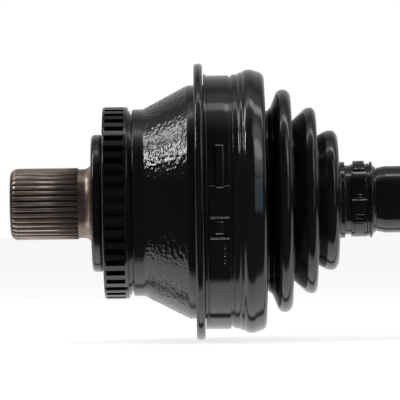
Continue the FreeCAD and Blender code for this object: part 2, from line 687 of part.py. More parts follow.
def boot_cap(doc, s):
    """The sheet-metal cap between ring and boot, and the gasket under it."""
    face = s.inner_centre_x - s.ring_half
    under = face - s.gasket_thick
    outer = under - s.cap_thick
    gasket = turned(doc, "GasketBlank", [
        (under, s.cover_seat_rad), (face, s.cover_seat_rad), (face, s.cap_rad), (under, s.cap_rad)])
    holes = bolt_holes(doc, "GasketHole", s, s.bolt_hole_rad + 0.2, under - 1.0, s.gasket_thick + 2.0)
    node(cut(doc, "Gasket", gasket, *holes), "inner_cap_gasket")
    cap = turned(doc, "CapBlank", [
        (under, s.cap_bore), (under, s.cap_rad), (outer, s.cap_rad),
        (outer, s.cap_bore + s.cap_thick), (s.cap_waist_x, s.cap_bore + s.cap_thick),
        (s.cap_neck_x, s.cap_neck_bore + s.cap_thick), (s.cap_end_x, s.cap_neck_bore + s.cap_thick),
        (s.cap_end_x, s.cap_neck_bore), (s.cap_neck_x, s.cap_neck_bore), (s.cap_waist_x, s.cap_bore)])
    holes = bolt_holes(doc, "CapHole", s, s.bolt_hole_rad + 0.2, outer - 1.0, s.cap_thick + 2.0)
    node(cut(doc, "BootCap", cap, *holes), "inner_boot_cap")


# ---------------------------------------------------------------- the whole axle

def clamps(doc, s):
    """Two clamps on each boot."""
    inner_big = s.inner_boot_x - s.inner_band_offset - s.small_band_width
    inner_small = s.inner_boot_x - s.inner_neck_offset - 10.3
    neck = s.neck_groove_rad + 0.1
    clamp(doc, s, "outer_boot_large_clamp", s.big_band_x, s.big_band_width, s.big_band_rad, 83.0, 150.0)
    clamp(doc, s, "outer_boot_small_clamp", s.small_band_x, s.small_band_width, neck, 40.0, 170.0)
    clamp(doc, s, "inner_boot_large_clamp", inner_big, s.small_band_width, s.inner_band_rad, 60.0, 150.0)
    clamp(doc, s, "inner_boot_small_clamp", inner_small, s.small_band_width, neck, 120.0, 170.0)


def build(doc):
    s = Sheet(doc)
    outer_housing(doc, s)
    pickup_ring(doc, s)
    splash_ring(doc, s)
    cage(doc, "outer", s.outer_centre_x, s.outer_cage_rad, s.outer_cage_bore, s.outer_cage_half,
         s.outer_window_half, s.outer_window_reach)
    balls(doc, "outer", s.outer_centre_x, s.outer_ball_rad, s.outer_ball_pitch)
    splined_race(doc, s, "outer", s.outer_centre_x, s.outer_race_rad,
                 curved_tracks(doc, "RaceTrack", s, back=90.0, front=90.0))
    outer_boot(doc, s)
    shaft(doc, s)
    spacers(doc, s)
    inner_ring(doc, s)
    cage(doc, "inner", s.inner_centre_x, s.inner_cage_rad, s.inner_cage_bore, s.inner_cage_half,
         s.inner_window_half, s.inner_window_reach)
    balls(doc, "inner", s.inner_centre_x, s.inner_ball_rad, s.inner_ball_pitch)
    splined_race(doc, s, "inner", s.inner_centre_x, s.inner_race_rad,
                 straight_tracks(doc, "InnerRaceTrack", s, s.race_half + 2.0))
    end_cover(doc, s)
    boot_cap(doc, s)
    inner_boot(doc, s)
    clamps(doc, s)
    reach = s.race_half + s.clip_wire + 0.1
    circlip(doc, "outer", s.outer_centre_x - reach, s.clip_groove_rad + s.clip_wire, s.clip_wire - 0.05, 0)
    circlip(doc, "inner", s.inner_centre_x + reach, s.clip_groove_rad + s.clip_wire, s.clip_wire - 0.05, 90)


def check_and_write(doc):
    doc.recompute()
    bad = [o.Name for o in doc.Objects if "Invalid" in o.State or "Error" in o.State]
    for label, thing in NODES.items():
        if thing.Shape.isNull() or not thing.Shape.isValid() or not thing.Shape.Solids:
            bad.append(label)
    if bad:
        raise RuntimeError(f"these didn't build: {bad}")
    os.makedirs("parts", exist_ok=True)
    for label, thing in NODES.items():
        thing.Shape.exportStep(f"parts/{label}.step")
        box = thing.Shape.BoundBox
        print(f"{label:26s} solids {len(thing.Shape.Solids)} volume {thing.Shape.Volume / 1000:9.2f} cm3"
              f"  x {box.XMin:7.2f} to {box.XMax:7.2f}  radius {box.ZMax:6.2f}")


document = FreeCAD.newDocument("Driveshaft")
build(document)
check_and_write(document)
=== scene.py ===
import math

import bmesh
import bpy
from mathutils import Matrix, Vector


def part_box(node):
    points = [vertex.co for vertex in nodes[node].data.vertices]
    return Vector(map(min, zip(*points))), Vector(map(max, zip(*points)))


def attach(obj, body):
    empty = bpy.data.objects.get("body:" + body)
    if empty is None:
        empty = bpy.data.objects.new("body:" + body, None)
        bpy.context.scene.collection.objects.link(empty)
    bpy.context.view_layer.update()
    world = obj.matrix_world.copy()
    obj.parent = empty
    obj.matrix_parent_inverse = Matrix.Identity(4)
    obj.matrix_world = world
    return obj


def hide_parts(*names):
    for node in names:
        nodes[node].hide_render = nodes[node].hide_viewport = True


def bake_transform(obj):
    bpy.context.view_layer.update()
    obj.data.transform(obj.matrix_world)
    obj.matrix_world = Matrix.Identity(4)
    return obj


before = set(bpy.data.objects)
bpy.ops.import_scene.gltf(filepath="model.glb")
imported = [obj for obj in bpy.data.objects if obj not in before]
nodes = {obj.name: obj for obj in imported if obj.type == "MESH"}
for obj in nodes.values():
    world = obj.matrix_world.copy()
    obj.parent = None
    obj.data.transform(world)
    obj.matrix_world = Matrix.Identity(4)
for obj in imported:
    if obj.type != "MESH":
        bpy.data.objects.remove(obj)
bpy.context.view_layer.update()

# ---- The wheel-side joint housing: one steel forging, a cup with a splined stub. The stub is
# machined and left bare, browned by oil, with painted shade in its tooth roots. The cup is sprayed
# gloss black, and its cone still has the lumpy skin of the die under the paint.
mm = 0.001


def node_adder(tree):
    """A short way to add a node to a tree, with its inputs and settings."""

    def add(kind, **settings):
        made = tree.nodes.new(kind)
        for key, value in settings.items():
            if key in made.inputs:
                made.inputs[key].default_value = value
            else:
                setattr(made, key, value)
        return made

    return add


def new_material(name, **values):
    """A material with its principled shader, and short ways to add and join nodes."""
    material = bpy.data.materials.new(name)
    material.use_nodes = True
    tree = material.node_tree
    shader = tree.nodes["Principled BSDF"]
    for socket, value in values.items():
        value = (*value, 1) if isinstance(value, tuple) else value
        shader.inputs[socket.replace("_", " ")].default_value = value
    return material, shader, node_adder(tree), tree.links.new


def noise(add, link, scale, detail=3.0, stretch=(1, 1, 1)):
    """A noise in the object's own metres, drawn out along an axis where stretch is small."""
    where = add("ShaderNodeTexCoord")
    mapping = add("ShaderNodeMapping", Scale=stretch)
    link(where.outputs["Object"], mapping.inputs["Vector"])
    made = add("ShaderNodeTexNoise", Scale=scale, Detail=detail)
    link(mapping.outputs["Vector"], made.inputs["Vector"])
    return made.outputs["Fac"]


def ramp(add, link, source, stops):
    """A colour ramp over a value, with stops of (place, grey or colour)."""
    made = add("ShaderNodeValToRGB")
    while len(made.color_ramp.elements) < len(stops):
        made.color_ramp.elements.new(0.5)
    for element, (place, colour) in zip(made.color_ramp.elements, stops):
        element.position = place
        element.color = (*colour, 1) if isinstance(colour, tuple) else (colour, colour, colour, 1)
    link(source, made.inputs["Fac"])
    return made.outputs["Color"]


def spread(add, link, source, low, high, to_low=0.0, to_high=1.0):
    """A value stretched from low..high to to_low..to_high."""
    made = add("ShaderNodeMapRange")
    for socket, value in (("From Min", low), ("From Max", high), ("To Min", to_low), ("To Max", to_high)):
        made.inputs[socket].default_value = value
    link(source, made.inputs["Value"])
    return made.outputs["Result"]


def blend_colours(add, link, share, first, second, kind="MIX"):
    """A mix of two colours, each a link or a fixed colour."""
    made = add("ShaderNodeMix", data_type="RGBA", blend_type=kind)
    for source, socket in ((share, "Factor"), (first, "A"), (second, "B")):
        colour_socket = next(s for s in made.inputs if s.name == socket
                             and s.type == ("VALUE" if socket == "Factor" else "RGBA"))
        if isinstance(source, tuple):
            colour_socket.default_value = (*source, 1)
        elif isinstance(source, float):
            colour_socket.default_value = source
        else:
            link(source, colour_socket)
    return next(s for s in made.outputs if s.type == "RGBA")


def relief(add, link, shader, *layers):
    """Bumps the surface by layers of (height, strength, depth in metres)."""
    before = None
    for height, strength, depth in layers:
        made = add("ShaderNodeBump", Strength=strength, Distance=depth)
        link(height, made.inputs["Height"])
        if before is not None:
            link(before, made.inputs["Normal"])
        before = made.outputs["Normal"]
    link(before, shader.inputs["Normal"])


def axle_place(add, link):
    """The station along the axle and the radius from it, in metres."""
    where = add("ShaderNodeTexCoord")
    split = add("ShaderNodeSeparateXYZ")
    link(where.outputs["Object"], split.inputs[0])
    across = add("ShaderNodeCombineXYZ")
    link(split.outputs["Y"], across.inputs["Y"])
    link(split.outputs["Z"], across.inputs["Z"])
    radius = add("ShaderNodeVectorMath", operation="LENGTH")
    link(across.outputs[0], radius.inputs[0])
    return split.outputs["X"], radius.outputs["Value"]


def finished(name, bm, material, smooth_angle=40):
    """Makes the piece: smooth faces, with sharp edges past the angle."""
    mesh = bpy.data.meshes.new(name)
    bm.to_mesh(mesh)
    bm.free()
    mesh.shade_smooth()
    mesh.set_sharp_from_angle(angle=math.radians(smooth_angle))
    mesh.materials.append(material)
    piece = bpy.data.objects.new(name, mesh)
    bpy.context.scene.collection.objects.link(piece)
    return piece


def outline(bm, corners, closed):
    """A line of (station, radius, reach of rounding) corners in mm, in the XZ plane."""
    verts = [bm.verts.new((corner[0] * mm, 0, corner[1] * mm)) for corner in corners]
    for pair in list(zip(verts, verts[1:])) + ([(verts[-1], verts[0])] if closed else []):
        bm.edges.new(pair)
    for vert, corner in zip(verts, corners):
        if len(corner) > 2:
            bmesh.ops.bevel(bm, geom=[vert], offset=corner[2] * mm, offset_type="OFFSET", material=-1,
                            segments=8, profile=0.5, affect="VERTICES")


def from_axle(co):
    """How far a point is from the axle's middle line, in mm."""
    return math.hypot(co.y, co.z) / mm


def merged_copy(node_name):
    """A bmesh of a carried-over piece, with its loose triangles joined."""
    bm = bmesh.new()
    bm.from_mesh(nodes[node_name].data)
    bmesh.ops.remove_doubles(bm, verts=bm.verts, dist=0.002 * mm)
    return bm


stub_end, disc_face, disc_back, ring_seat_start, ring_seat_end, mouth_end = -6.1, 0.0, 5.4, 5.8, 19.1, 64.7
stub_radius, disc_radius, groove_radius, ring_seat_radius, cup_radius = 16.0, 31.9, 29.9, 41.4, 54.3
cone_start, cone_end = (24.2, 43.4), (45.0, cup_radius)
cone_slope = (cone_end[1] - cone_start[1]) / (cone_end[0] - cone_start[0])
seam_width = 0.2
skin_steps, skin_rings = 480, 50
bm = merged_copy("outer_joint_housing")
for station in (stub_end, mouth_end):
    bmesh.ops.bisect_plane(bm, geom=bm.verts[:] + bm.edges[:] + bm.faces[:], dist=1e-7,
                           plane_co=(station * mm, 0, 0), plane_no=(1, 0, 0))


def is_outside(face):
    """Whether a face of the forging is on its outside, between the stub's teeth and the mouth."""
    middle = face.calc_center_median()
    station, radius = middle.x / mm, from_axle(middle)
    if not stub_end < station < mouth_end:
        return False
    if station < ring_seat_start + 0.1:
        return radius > stub_radius - 2
    if station < ring_seat_end + 0.1:
        return radius > ring_seat_radius - 0.2
    cone_radius = cone_start[1] + (station - cone_start[0]) * cone_slope
    return radius > min(max(cone_start[1], cone_radius), cup_radius) - 0.7


bmesh.ops.delete(bm, geom=[f for f in bm.faces if is_outside(f)], context="FACES")
outside = bmesh.new()
outline(outside, [
    (stub_end + seam_width, stub_radius), (disc_face, stub_radius, 3.8), (disc_face, disc_radius, 1.8),
    (disc_back, disc_radius, 1.8), (disc_back, groove_radius), (ring_seat_start, groove_radius),
    (ring_seat_start, ring_seat_radius, 0.4), (ring_seat_end, ring_seat_radius),
    (ring_seat_end, cone_start[1], 0.7), (*cone_start, 0.8), (*cone_end, 0.8),
    (mouth_end - seam_width, cup_radius)], False)
slant = max((e for e in outside.edges if 0 < e.verts[0].co.x < cone_end[0] * mm),
            key=lambda e: e.calc_length())
bmesh.ops.subdivide_edges(outside, edges=[slant], cuts=skin_rings)
bmesh.ops.spin(outside, geom=outside.verts[:] + outside.edges[:], cent=(0, 0, 0), axis=(1, 0, 0),
               dvec=(0, 0, 0), angle=math.tau, steps=skin_steps, use_merge=True)
outside_mesh = bpy.data.meshes.new("outside")
outside.to_mesh(outside_mesh)
outside.free()
bm.from_mesh(outside_mesh)
bpy.data.meshes.remove(outside_mesh)
for station in (stub_end, mouth_end):
    rims = [e for e in bm.edges if e.is_boundary and abs(e.verts[0].co.x / mm - station) < 1.5 * seam_width]
    bmesh.ops.bridge_loops(bm, edges=rims)
bmesh.ops.recalc_face_normals(bm, faces=bm.faces)
cone_share = bm.verts.layers.deform.verify()
smooth_rim, fade = 0.6, 1.2
for vert in bm.verts:
    station = vert.co.x / mm
    from_ends = min(station - cone_start[0], cone_end[0] - station) - smooth_rim
    on_cone = from_axle(vert.co) > cone_start[1] + (station - cone_start[0]) * cone_slope - 0.4
    if from_ends > 0 and on_cone:
        vert[cone_share][0] = min(1.0, from_ends / fade)

paint_black = (0.0045, 0.0045, 0.005)
paint_edge, paint_feather = -0.4, 0.3
tooth_root, tooth_flank = 15.4, 16.3
bare_metallic = 0.8
housing_finish, shader, add, link = new_material("bare_stub_and_black_cup", IOR=1.5)
station, radius = axle_place(add, link)
machining = noise(add, link, 320.0, 5.0, (0.15, 1, 1))
oil = noise(add, link, 70.0, 3.0)
steel = ramp(add, link, machining, [(0.3, (0.24, 0.185, 0.155)), (0.7, (0.47, 0.375, 0.32))])
steel = blend_colours(add, link, 0.7, steel, ramp(add, link, oil, [(0.35, 0.6), (0.7, 1.15)]), "MULTIPLY")
# the tooth roots are painted near black: painted shade between the teeth, with some oil in them
root_shade_and_oil = ramp(add, link, spread(add, link, radius, tooth_root * mm, tooth_flank * mm),
                 [(0.0, (0.07, 0.055, 0.05)), (0.6, (0.62, 0.6, 0.58)), (1.0, (1.0, 1.0, 1.0))])
steel = blend_colours(add, link, 1.0, steel, root_shade_and_oil, "MULTIPLY")
painted = spread(add, link, station, (paint_edge - paint_feather) * mm, paint_edge * mm)
link(blend_colours(add, link, painted, steel, paint_black), shader.inputs["Base Color"])
link(spread(add, link, painted, 0, 1, bare_metallic, 0.0), shader.inputs["Metallic"])
gloss = ramp(add, link, noise(add, link, 90.0), [(0.35, 0.11), (0.75, 0.22)])
link(blend_colours(add, link, painted, ramp(add, link, machining, [(0.3, 0.42), (0.7, 0.3)]), gloss),
     shader.inputs["Roughness"])
relief(add, link, shader, (machining, 0.3, 0.00003), (noise(add, link, 900.0, 3.0), 0.8, 0.00007))

housing = finished("outer_joint_housing_forging", bm, housing_finish, 35)
housing.vertex_groups.new(name="rough_cone")
lump_size, lump_height = 1.2, 0.46
lumps = bpy.data.textures.new("die_lumps", "CLOUDS")
lumps.noise_scale = lump_size * mm
lumps.noise_depth = 3
forged_skin = housing.modifiers.new("forged_skin", "DISPLACE")
forged_skin.texture = lumps
forged_skin.texture_coords = "LOCAL"
forged_skin.strength = lump_height * mm
forged_skin.mid_level = 0.6
forged_skin.vertex_group = "rough_cone"
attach(housing, "outer_joint")
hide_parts("outer_joint_housing")

# ---- The speed pickup ring and the splash ring: pressed steel, a push fit on the housing, and
# dipped in the same gloss black.


def black_paint(name, rough=0.085, peel=0.25):
    """Gloss black paint with a faint orange peel, dulled in patches by dust."""
    material, shader, add, link = new_material(name, Base_Color=paint_black, IOR=1.5)
    link(ramp(add, link, noise(add, link, 60.0), [(0.35, rough * 0.8), (0.75, rough * 1.7)]),
         shader.inputs["Roughness"])
    relief(add, link, shader, (noise(add, link, 700.0, 1.5), peel, 0.00004))
    return material


def wear(material, *names):
    """Gives carried-over pieces their material."""
    for name in names:
        nodes[name].data.materials.clear()
        nodes[name].data.materials.append(material)


gloss_black = black_paint("gloss_black_paint")
wear(gloss_black, "speed_pickup_ring", "splash_ring")

# ---- The outer boot: black thermoplastic rubber, blow moulded, with a stiff rib beside the large
# clamp, three folds that step down to the bar, and a neck with a groove for the small clamp.


def turned(corners, closed=True, steps=160):
    """A bmesh turned about the axle from the outline of its section."""
    bm = bmesh.new()
    outline(bm, corners, closed)
    bmesh.ops.spin(bm, geom=bm.verts[:] + bm.edges[:], cent=(0, 0, 0), axis=(1, 0, 0), dvec=(0, 0, 0),
                   angle=math.tau, steps=steps, use_merge=True)
    bmesh.ops.remove_doubles(bm, verts=bm.verts, dist=1e-6)
    bmesh.ops.recalc_face_normals(bm, faces=bm.faces)
    return bm


def rubber(name, rough):
    """Smooth black rubber with a fine mould grain and a faint bloom."""
    material, shader, add, link = new_material(name, Base_Color=(0.006, 0.006, 0.0065), IOR=1.5)
    link(ramp(add, link, noise(add, link, 45.0, 4.0), [(0.3, rough * 0.85), (0.8, rough * 1.5)]),
         shader.inputs["Roughness"])
    relief(add, link, shader, (noise(add, link, 1500.0, 2.0), 0.2, 0.00003))
    return material


boot_rubber = rubber("boot_rubber", 0.115)
boot_wall = 1.2


def boot(replaced, first_body, *lengths):
    """A boot in lengths of (piece, next body, stations of its turn, corners); the next body and the
    stations are not used. Each begins where the one before it ends."""
    body, seam = first_body, []
    for name, next_body, (start, end), corners in lengths:
        bm = turned(seam + corners, closed=False)
        lean = sum(f.normal.dot(Vector((0, *f.calc_center_median()[1:]))) for f in bm.faces)
        if lean < 0:
            bmesh.ops.reverse_faces(bm, faces=bm.faces)
        bmesh.ops.solidify(bm, geom=bm.faces[:], thickness=boot_wall * mm)
        piece = finished(name, bm, boot_rubber)
        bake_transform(piece)
        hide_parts(replaced)
        body, seam = next_body, corners[-1:]


boot("outer_boot", "outer_joint",
     ("outer_boot_rib_and_first_fold", "outer_ride_ball", (73.0, 92.85), [
         (52.3, 59.3), (53.7, 59.3, 0.4), (53.7, 58.2), (65.3, 58.2), (65.3, 59.0, 0.4), (68.0, 59.1, 0.6),
         (68.9, 60.0, 0.5), (69.8, 59.8, 0.4), (71.2, 60.9, 0.6), (73.8, 61.5, 1.6), (80.4, 59.2, 2.0),
         (81.0, 41.6, 0.9), (83.2, 43.0, 1.4), (86.5, 51.9, 2.4), (92.6, 51.6, 3.2), (92.85, 42.0)]),
     ("outer_boot_second_valley", "outer_cage", (92.85, 96.5), [(93.0, 36.9, 0.8), (96.5, 40.2)]),
     ("outer_boot_second_fold", "outer_steer_ball", (96.5, 104.35), [
         (100.0, 43.5, 2.0), (104.2, 42.9, 2.8), (104.35, 36.0)]),
     ("outer_boot_third_fold_and_neck", "shaft", (104.35, 114.6), [
         (104.5, 29.9, 0.8), (109.5, 32.8, 2.2), (114.3, 31.9, 3.8), (114.8, 17.8, 0.7), (117.4, 17.7, 0.4),
         (117.5, 16.1, 0.3), (128.8, 16.1), (128.9, 17.7, 0.3), (130.0, 17.7, 0.4), (130.4, 15.9, 0.4),
         (131.7, 15.2, 0.4), (131.7, 14.3)]))

# ---- The large clamp: a stepless band of black-painted spring steel. Its outer layer laps the inner
# one, ends in a narrow tongue, and is held by a hook that stands up through a window.
band_thickness = 0.55
bend_step = 1.5


def strap(clamp, stations, turns, radius, thickness=band_thickness, openings=(), ends_round=0.0, edge=0.3,
          lift=None):
    """Adds a bent strip to a clamp: stations in mm, turns in degrees from the top towards the front."""
    bm = bmesh.new()
    reach = [math.radians(turn) * radius for turn in turns]
    bmesh.ops.create_grid(bm, x_segments=1, y_segments=1, size=0.5)
    bmesh.ops.scale(bm, verts=bm.verts, vec=(stations[1] - stations[0], reach[1] - reach[0], 1))
    bmesh.ops.translate(bm, verts=bm.verts, vec=(sum(stations) / 2, sum(reach) / 2, 0))
    if ends_round:
        bmesh.ops.bevel(bm, geom=bm.verts[:], offset=ends_round, offset_type="OFFSET", material=-1,
                        segments=6, profile=0.5, affect="VERTICES")
    cuts = [((x, 0, 0), (1, 0, 0)) for opening in openings for x in opening[0]]
    cuts += [((0, math.radians(turn) * radius, 0), (0, 1, 0)) for opening in openings for turn in opening[1]]
    steps = max(2, round(abs(turns[1] - turns[0]) / bend_step))
    cuts += [((0, reach[0] + (reach[1] - reach[0]) * step / steps, 0), (0, 1, 0)) for step in range(1, steps)]
    for point, normal in cuts:
        bmesh.ops.bisect_plane(bm, geom=bm.verts[:] + bm.edges[:] + bm.faces[:], dist=1e-5,
                               plane_co=point, plane_no=normal)
    for (low, high), (begin, end) in openings:
        inside = [f for f in bm.faces if low < f.calc_center_median().x < high
                  and math.radians(begin) * radius < f.calc_center_median().y < math.radians(end) * radius]
        bmesh.ops.delete(bm, geom=inside, context="FACES")
    top = bmesh.ops.extrude_face_region(bm, geom=bm.faces[:])
    bmesh.ops.translate(bm, verts=[g for g in top["geom"] if isinstance(g, bmesh.types.BMVert)],
                        vec=(0, 0, thickness))
    bmesh.ops.recalc_face_normals(bm, faces=bm.faces)
    corners = [e for e in bm.edges if e.is_manifold and e.calc_face_angle() > 1.0
               and max(v.co.z for v in e.verts) > thickness / 2
               and abs(e.verts[0].co.z - e.verts[1].co.z) < 1e-6]
    worn = bmesh.ops.bevel(bm, geom=corners, offset=thickness * edge, offset_type="OFFSET", material=-1,
                           segments=4, profile=0.5, affect="EDGES")
    for face in worn["faces"]:
        face.material_index = int(abs(face.normal.y) > abs(face.normal.x))
    for vert in bm.verts:
        raised = lift(math.degrees(vert.co.y / radius)) if lift else 0
        distance = (radius + vert.co.z + raised) * mm
        turn = vert.co.y / radius
        vert.co = Vector((vert.co.x * mm, -math.sin(turn) * distance, math.cos(turn) * distance))
    bmesh.ops.recalc_face_normals(bm, faces=bm.faces)
    mesh = bpy.data.meshes.new("strap")
    bm.to_mesh(mesh)
    bm.free()
    clamp.from_mesh(mesh)
    bpy.data.meshes.remove(mesh)


clamp_black = black_paint("clamp_paint", rough=0.07, peel=0.15)
worn_edge, shader, add, link = new_material("paint_worn_off_the_edge", Metallic=0.9, Roughness=0.25)
link(ramp(add, link, noise(add, link, 900.0, 4.0), [(0.3, 0.12), (0.6, 0.5)]), shader.inputs["Base Color"])
large_start, large_end, large_radius = 53.9, 63.9, 58.2
outer_radius = large_radius + band_thickness
lap_begin, lap_end = 83, 232
window_begin, window_end = 97.4, 105.6
hook_begin, hook_end, hook_rise = 98.6, 104.4, 0.9


def hook_lift(turn):
    """How far the hook stands off the band at a turn along it."""
    return hook_rise * max(0.0, math.sin(math.pi * (turn - hook_begin) / (hook_end - hook_begin)))


clamp = turned([(large_start, large_radius), (large_end, large_radius),
                (large_end, outer_radius - 0.02, 0.2), (large_start, outer_radius - 0.02, 0.2)])
# the outer layer with its window, and the tongue at its end
strap(clamp, (large_start, large_end), (lap_begin, lap_end), outer_radius,
      openings=[((large_start + 1.2, large_end - 1.2), (window_begin, window_end))])
strap(clamp, (57.2, 61.2), (64.3, lap_begin + 1), outer_radius, 1.1, ends_round=0.4, edge=0.5)
# the lips folded up at the window's two ends, and the hook between them
for begin in (window_begin - 1, window_end):
    strap(clamp, (large_start + 0.4, large_end - 0.4), (begin, begin + 1), outer_radius + 0.1, 1.1, edge=0.42)
strap(clamp, (57.0, 60.6), (hook_begin, hook_end), outer_radius, 0.8, edge=0.45, lift=hook_lift)
# the three small dimples that stiffen the lap
for turn in (109.5, 113.0, 116.5):
    strap(clamp, (60.6, 61.6), (turn, turn + 1.8), outer_radius + 0.2, 0.7, ends_round=0.4, edge=0.45)
large_clamp = finished("outer_boot_large_clamp_band", clamp, clamp_black)
large_clamp.data.materials.append(worn_edge)
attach(large_clamp, "outer_joint")
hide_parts("outer_boot_large_clamp")

# ---- The small clamp: the same band on the boot's neck, closed by an ear with a hole in it. The
# gearbox-side boot has a pair of the same clamps, one on its neck and a plainer one on its big end.
small_width, neck_radius = 8.4, 16.1


def small_clamp(name, replaced, body, start, turn):
    """A neck clamp that begins at a station, its ear at a turn in degrees from the top to the front."""
    end = start + small_width
    outer = neck_radius + band_thickness
    clamp = turned([(start, neck_radius), (end, neck_radius), (end, outer + 0.3, 0.15),
                    (end - 0.9, outer + 0.3, 0.15), (end - 1.1, outer - 0.02, 0.1),
                    (start, outer - 0.02, 0.2)], steps=96)
    # the lap with its slot, and the ear with its hole
    strap(clamp, (start, end - 1.2), (turn + 30, turn + 195), outer, 0.55, edge=0.4,
          openings=[((start + 2.0, start + 5.6), (turn + 104, turn + 110))])
    strap(clamp, (start + 0.9, end - 2.0), (turn - 10, turn + 28), outer, 1.5, ends_round=0.8, edge=0.35,
          openings=[((start + 2.9, start + 5.1), (turn - 1, turn + 7))])
    # the hook and the fold behind it, and the end that is pressed down
    strap(clamp, (start + 2.4, end - 3.4), (turn + 72, turn + 77), outer + 0.3, 0.6, ends_round=0.4, edge=0.4)
    strap(clamp, (start, end - 1.2), (turn + 79, turn + 81), outer + 0.3, 0.55, edge=0.5)
    strap(clamp, (start + 1.2, end - 2.4), (turn + 116, turn + 142), outer, 1.25, ends_round=0.8, edge=0.35)
    piece = finished(name, clamp, clamp_black)
    piece.data.materials.append(worn_edge)
    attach(piece, body)
    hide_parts(replaced)


small_clamp("outer_boot_small_clamp_band", "outer_boot_small_clamp", "shaft", 120.2, 10)
small_clamp("inner_boot_small_clamp_band", "inner_boot_small_clamp", "shaft", 324.7, 60)
plain_start, plain_end, plain_radius = 382.8, 391.2, 40.6
plain_outer = plain_radius + band_thickness
clamp = turned([(plain_start, plain_radius), (plain_end, plain_radius), (plain_end, plain_outer, 0.2),
                (plain_start, plain_outer, 0.2)])
# the lap, the tongue at its end and the raised catch
strap(clamp, (plain_start, plain_end), (60, 210), plain_outer - 0.02)
strap(clamp, (plain_start + 2.2, plain_end - 2.2), (34, 61), plain_outer, 0.8, ends_round=0.4, edge=0.45)
strap(clamp, (plain_start + 1.2, plain_end - 1.2), (76, 84), plain_outer + band_thickness - 0.1, 0.9,
      ends_round=0.6, edge=0.45)
plain_clamp = finished("inner_boot_large_clamp_band", clamp, clamp_black)
plain_clamp.data.materials.append(worn_edge)
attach(plain_clamp, "inner_joint")
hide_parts("inner_boot_large_clamp")

# ---- The shaft: a solid steel bar with a splined end for each star race. It is drawn down in a cone
# beside each boot, and sprayed gloss black between the boots.
wear(black_paint("shaft_paint", rough=0.09, peel=0.3), "shaft")

# ---- The gearbox-side boot: the same rubber in a shorter bellows of four folds, clamped over the
# neck of the boot cap and on the bar.
boot("inner_boot", "inner_joint",
     ("inner_boot_big_end_and_first_fold", "inner_boot", (381.5, 368.6), [
         (393.0, 41.7), (391.5, 41.7, 0.3), (391.4, 40.5), (382.6, 40.5), (382.5, 41.7, 0.3),
         (379.0, 41.9, 1.0), (376.6, 45.4, 2.0), (371.9, 45.0, 2.8), (371.2, 36.4, 0.8), (368.6, 37.9)]),
     ("inner_boot_second_fold_rise", "inner_ride_ball", (368.6, 366.6), [(366.6, 39.8)]),
     ("inner_boot_second_fold", "inner_cage", (366.6, 360.6), [
         (365.4, 40.5, 0.8), (361.0, 39.9, 2.4), (360.6, 35.0)]),
     ("inner_boot_second_valley", "inner_steer_ball", (360.6, 356.8), [(360.2, 29.8, 0.8), (356.8, 32.6)]),
     ("inner_boot_small_folds_and_neck", "shaft", (356.8, 340.0), [
         (355.2, 34.7, 1.6), (350.6, 34.3, 2.4), (350.0, 24.3, 0.8), (345.4, 28.2, 1.6), (339.8, 27.6, 3.2),
         (336.2, 18.0, 0.8), (333.6, 17.7, 0.3), (333.5, 16.1), (324.5, 16.1), (324.4, 17.7, 0.3),
         (323.4, 17.7, 0.4), (323.0, 16.0, 0.4), (323.0, 14.3)]))

# ---- The gearbox-side joint ring and both ball races: case-hardened steel, turned and ground, with
# fine rings of tool marks and a film of oil.


def turned_steel(name, dark, light, rough, patches=0.75):
    """Bare machined steel: tool marks that ring the axle, and oil that tints it in patches."""
    material, shader, add, link = new_material(name, Metallic=1.0)
    station, radius = axle_place(add, link)
    section = add("ShaderNodeCombineXYZ")
    link(station, section.inputs["X"])
    link(radius, section.inputs["Y"])
    rings = add("ShaderNodeTexNoise", Scale=2600.0, Detail=3.0)
    link(section.outputs[0], rings.inputs["Vector"])
    colour = ramp(add, link, rings.outputs["Fac"], [(0.3, dark), (0.7, light)])
    oil = ramp(add, link, noise(add, link, 55.0, 5.0), [(0.35, patches), (0.65, 1.0)])
    link(blend_colours(add, link, 1.0, colour, oil, "MULTIPLY"), shader.inputs["Base Color"])
    link(ramp(add, link, noise(add, link, 80.0, 4.0), [(0.3, rough * 0.7), (0.75, rough * 1.4)]),
         shader.inputs["Roughness"])
    relief(add, link, shader, (rings.outputs["Fac"], 0.25, 0.00002))
    return material


wear(turned_steel("ground_race_steel", (0.36, 0.34, 0.31), (0.52, 0.50, 0.46), 0.3),
     "inner_joint_ring", "outer_star_race", "inner_star_race")

# ---- Balls, cages, dished washers and circlips: polished bearing steel, dark phosphated cages, and
# blued spring steel.
wear(turned_steel("polished_ball_steel", (0.58, 0.58, 0.58), (0.66, 0.66, 0.67), 0.07, 0.9),
     *(f"{side}_ball_{number}" for side in ("outer", "inner") for number in range(1, 7)))
wear(turned_steel("phosphated_cage_steel", (0.10, 0.10, 0.105), (0.19, 0.19, 0.195), 0.38),
     "outer_cage", "inner_cage")
wear(turned_steel("blued_spring_steel", (0.07, 0.075, 0.095), (0.13, 0.14, 0.17), 0.26),
     "outer_dished_washer", "inner_dished_washer", "outer_circlip", "inner_circlip")

# ---- The thrust ring: turned from natural nylon, it keeps the star race off the housing's floor. The
# gasket under the boot cap: cut from pressed fibre sheet.


def dull_sheet(name, dark, light, rough, scale):
    """A dull moulded or pressed material, mottled at one scale."""
    material, shader, add, link = new_material(name)
    mottle = noise(add, link, scale, 6.0)
    link(ramp(add, link, mottle, [(0.3, dark), (0.7, light)]), shader.inputs["Base Color"])
    link(ramp(add, link, mottle, [(0.3, rough), (0.7, rough * 1.25)]), shader.inputs["Roughness"])
    relief(add, link, shader, (noise(add, link, scale * 6, 3.0), 0.3, 0.00005))
    return material


wear(dull_sheet("natural_nylon", (0.66, 0.62, 0.50), (0.76, 0.72, 0.61), 0.42, 120.0), "outer_thrust_ring")
wear(dull_sheet("gasket_fibre", (0.13, 0.11, 0.085), (0.24, 0.21, 0.17), 0.75, 420.0), "inner_cap_gasket")

